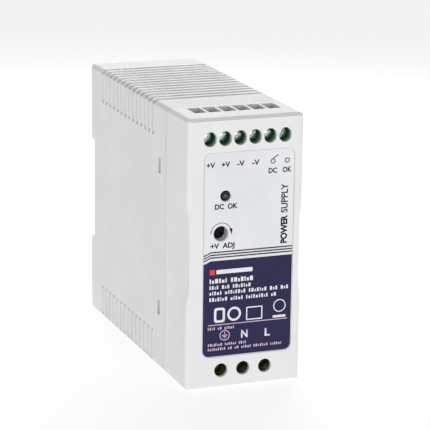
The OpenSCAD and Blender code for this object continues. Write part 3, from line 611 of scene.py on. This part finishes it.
def print_legends():
    """Function legends of the poles, lamp and adjuster, and the kind of object."""
    ink = ink_material("ink_black", rgb(30, 30, 36))
    screws = [middle(f"output_screw_{i}").x / MM for i in range(1, 7)]
    dial = middle("trimmer_rotor") / MM
    lamp = middle("led_lamp") / MM
    cap = 1.8

    names = (("+V", 2.9), ("+V", 2.9), ("-V", 2.5), ("-V", 2.5))
    signs = [dict(words=word, x=x + 0.3, z=29.6, height=cap, width=w) for (word, w), x in zip(names, screws)]
    printed("pole_legends", ink, words=signs)

    # relay contact: two poles and the short arm between them
    a, b = screws[4] + 1.1, screws[5] + 0.9
    arm = stroke([(a - 0.25, 30.3), (a + 1.8, 31.6)], 0.3)
    contact = [circlet(a, 29.6, 0.85, 0.3), circlet(b, 29.6, 0.85, 0.3), arm]
    words = [dict(words="DC", x=a, z=26.5, height=cap, width=3.0),
             dict(words="OK", x=b, z=26.5, height=cap, width=3.1)]
    printed("contact_legend", ink, contact, words)

    under_lamp = dict(words="DC  OK", x=lamp.x + 0.2, z=lamp.z - 3.4, height=cap, width=7.8, weight=0.035)
    printed("lamp_legend", ink, words=[under_lamp])

    reach = 3.6
    arc = [math.radians(22 + 158 * i / 24) for i in range(25)]
    sweep = stroke([(dial.x + reach * math.cos(t), dial.z + reach * math.sin(t)) for t in arc], 0.2)
    tip_x, tip_z = dial.x + reach * math.cos(arc[0]), dial.z + reach * math.sin(arc[0])
    head = [((tip_x + x) * MM, (tip_z + z) * MM) for x, z in ((-0.55, 0.3), (0.55, 0.1), (0.25, -1.9))]
    under_dial = dict(words="+V  ADJ", x=dial.x + 0.5, z=dial.z - 4.25, height=2.3, width=8.3, weight=0.035)
    printed("adjuster_legend", ink, [sweep, head], [under_dial])

    kind = [dict(words="POWER", x=13.6, z=6.6, height=2.4, width=9.4, weight=0.048, upward=True),
            dict(words="SUPPLY", x=13.6, z=17.0, height=2.4, width=9.7, weight=0.02, upward=True)]
    printed("kind_legend", ink, words=kind)


def print_panel():
    """Dark panel with stripes above it, and plain bars and signs where its small print would be."""
    navy = ink_material("ink_navy", rgb(36, 34, 74), 0.45)
    light = ink_material("ink_light", rgb(232, 232, 240))
    pale = ink_material("ink_pale_rose", rgb(206, 184, 208))
    left, right, low = label_low.x / MM, label_high.x / MM, label_low.z / MM
    step, turn, bend, inset, radius = 0.75, 0.9, 2.4, 0.05, 2.2

    def top_edge(top):
        bent = [(left + inset, top - step - 0.2), (left + turn, top - step)]
        return bent + [(left + bend, top), (right - inset, top)]

    def stripe(top, thick):
        upper = top_edge(top)
        return [(x * MM, z * MM) for x, z in upper + [(x, z - thick) for x, z in reversed(upper)]]

    grey = ink_material("ink_stripes", rgb(34, 34, 44))
    printed("stripes", grey, [stripe(0.95 - 0.88 * i, 0.42) for i in range(3)])
    corner = [math.radians(-90 + 90 * i / 8) for i in range(9)]
    base = low + inset + radius
    panel = top_edge(-2.1)
    far, near = right - inset - radius, left + inset + radius
    panel += [(far + radius * math.cos(t), base + radius * math.sin(t)) for t in reversed(corner)]
    panel += [(near - radius * math.cos(t), base + radius * math.sin(t)) for t in corner]
    printed("panel", navy, [[(x * MM, z * MM) for x, z in panel]])

    # heading of a small square and a plain bar, and rows of small blocks
    red = ink_material("ink_red", rgb(226, 62, 66))
    printed("heading_light", light, [bar(-9.7, -6.6, 2.9, -5.2, 0.3)], layer=2)
    printed("heading_red", red, [bar(-12.0, -6.8, -10.2, -5.0, 0.3)], layer=2)
    rows = blocks(-12.0, -8.9, 1.5, (6, 7), 0.75, 0.35)
    rows += blocks(-12.0, -11.05, 1.25, (4, 3, 7), 0.52, 0.38)
    rows += blocks(-12.0, -12.95, 1.25, (5, 8, 7, 3, 3), 0.52, 0.38)
    rows += blocks(-12.0, -15.1, 1.25, (7, 5, 9, 2), 0.52, 0.38)
    printed("small_rows", light, rows, layer=2)

    # plain signs
    tile = (bar(-10.3, -23.0, -6.5, -18.0, 0.9), [bar(-9.5, -22.2, -7.3, -18.8, 0.5)])
    disc = circlet(-3.3, -20.5, 2.4, 0.75)
    pane = (bar(0.9, -23.1, 6.6, -18.6, 0.3), [bar(1.3, -22.7, 6.2, -19.0, 0.1)])
    thin = circlet(12.6, -19.2, 2.2, 0.35)
    under = bar(10.3, -23.2, 14.8, -22.4)
    printed("signs", light, [tile, disc, pane, thin, under], layer=2)
    printed("divider", pale, [bar(-12.4, -23.9, 15.4, -23.6)], layer=2)

    # input poles: protective earth, neutral and line
    earth_x, earth_z = -6.5, -27.5
    earth = [circlet(earth_x, earth_z, 1.8, 0.3), bar(earth_x - 0.12, earth_z, earth_x + 0.12, earth_z + 1.2)]
    for drop, half in ((0.0, 1.0), (0.45, 0.65), (0.9, 0.3)):
        earth.append(bar(earth_x - half, earth_z - drop - 0.13, earth_x + half, earth_z - drop + 0.13))
    printed("earth_sign", pale, earth, layer=2)
    poles = [dict(words="N", x=0.4, z=-27.6, height=2.7, width=2.3),
             dict(words="L", x=8.5, z=-27.8, height=2.7, width=1.9)]
    printed("pole_letters", light, words=poles, layer=2)

    foot = blocks(-12.4, -24.95, 0.95, (4, 2, 5), 0.42, 0.3)
    foot += blocks(-12.3, -30.5, 0.9, (7, 6, 4), 0.42, 0.3)
    foot += blocks(-12.3, -32.0, 0.9, (9, 2, 2, 5, 7, 6), 0.42, 0.3)
    printed("foot_rows", pale, foot, layer=2)


# ---------- floor, world and lights ----------


def add_floor():
    """Pale round floor that the box stands on, seen from above only."""
    mesh = bpy.data.meshes.new("floor")
    bm = bmesh.new()
    bmesh.ops.create_circle(bm, cap_ends=True, segments=96, radius=FLOOR_RADIUS)
    bm.to_mesh(mesh)
    bm.free()
    floor = bpy.data.objects.new("floor", mesh)
    floor.location.z = FLOOR_Z - 0.0002
    bpy.context.scene.collection.objects.link(floor)
    g = Graph("floor")
    pale = g.blend(g.noise(60.0), (0.34, 0.34, 0.34, 1), (0.36, 0.36, 0.36, 1))
    g.link(pale, g.shader.inputs["Base Color"])
    g.shader.inputs["Roughness"].default_value = 0.9
    g.shader.inputs["Specular IOR Level"].default_value = 0.0
    g.shader.inputs["Emission Color"].default_value = (1, 1, 1, 1)
    g.shader.inputs["Emission Strength"].default_value = FLOOR_GLOW
    from_below = g.nodes.new("ShaderNodeNewGeometry").outputs["Backfacing"]
    clear = g.nodes.new("ShaderNodeBsdfTransparent")
    mix = g.nodes.new("ShaderNodeMixShader")
    output = next(n for n in g.nodes if n.type == "OUTPUT_MATERIAL")
    g.link(from_below, mix.inputs[0])
    g.link(g.shader.outputs[0], mix.inputs[1])
    g.link(clear.outputs[0], mix.inputs[2])
    g.link(mix.outputs[0], output.inputs["Surface"])
    floor.data.materials.append(g.material)


def add_world():
    """White backdrop for the camera, a weaker white light for everything else."""
    world = bpy.data.worlds.new("world")
    bpy.context.scene.world = world
    world.use_nodes = True
    nodes, links = world.node_tree.nodes, world.node_tree.links
    shade = next(n for n in nodes if n.type == "BACKGROUND")
    seen = nodes.new("ShaderNodeLightPath").outputs["Is Camera Ray"]
    level = nodes.new("ShaderNodeMapRange")
    level.inputs["To Min"].default_value = WORLD_LEVEL
    level.inputs["To Max"].default_value = 1.0
    links.new(seen, level.inputs["Value"])
    shade.inputs["Color"].default_value = (1, 1, 1, 1)
    links.new(level.outputs[0], shade.inputs["Strength"])


def add_softbox(name, direction, distance, size, level):
    """Square soft light that gives a facing white surface the wanted brightness."""
    data = bpy.data.lights.new(name, "AREA")
    data.shape = "SQUARE"
    data.size = size
    data.energy = level * (math.pi * distance) ** 2
    light = bpy.data.objects.new(name, data)
    aim = Vector((0, -0.05, 0))
    away = Vector(direction).normalized()
    light.location = aim + away * distance
    light.rotation_mode = "QUATERNION"
    light.rotation_quaternion = away.to_track_quat("Z", "Y")
    bpy.context.scene.collection.objects.link(light)


add_camera()
finishes = make_slots()
dress_nodes(finishes)
add_foot_spring(finishes["spring_steel"])
print_legends()
print_panel()
add_floor()
add_world()
for softbox, (direction, distance, size, level) in SOFTBOXES.items():
    add_softbox(softbox, direction, distance, size, level)
bpy.context.scene.view_settings.view_transform = "Standard"
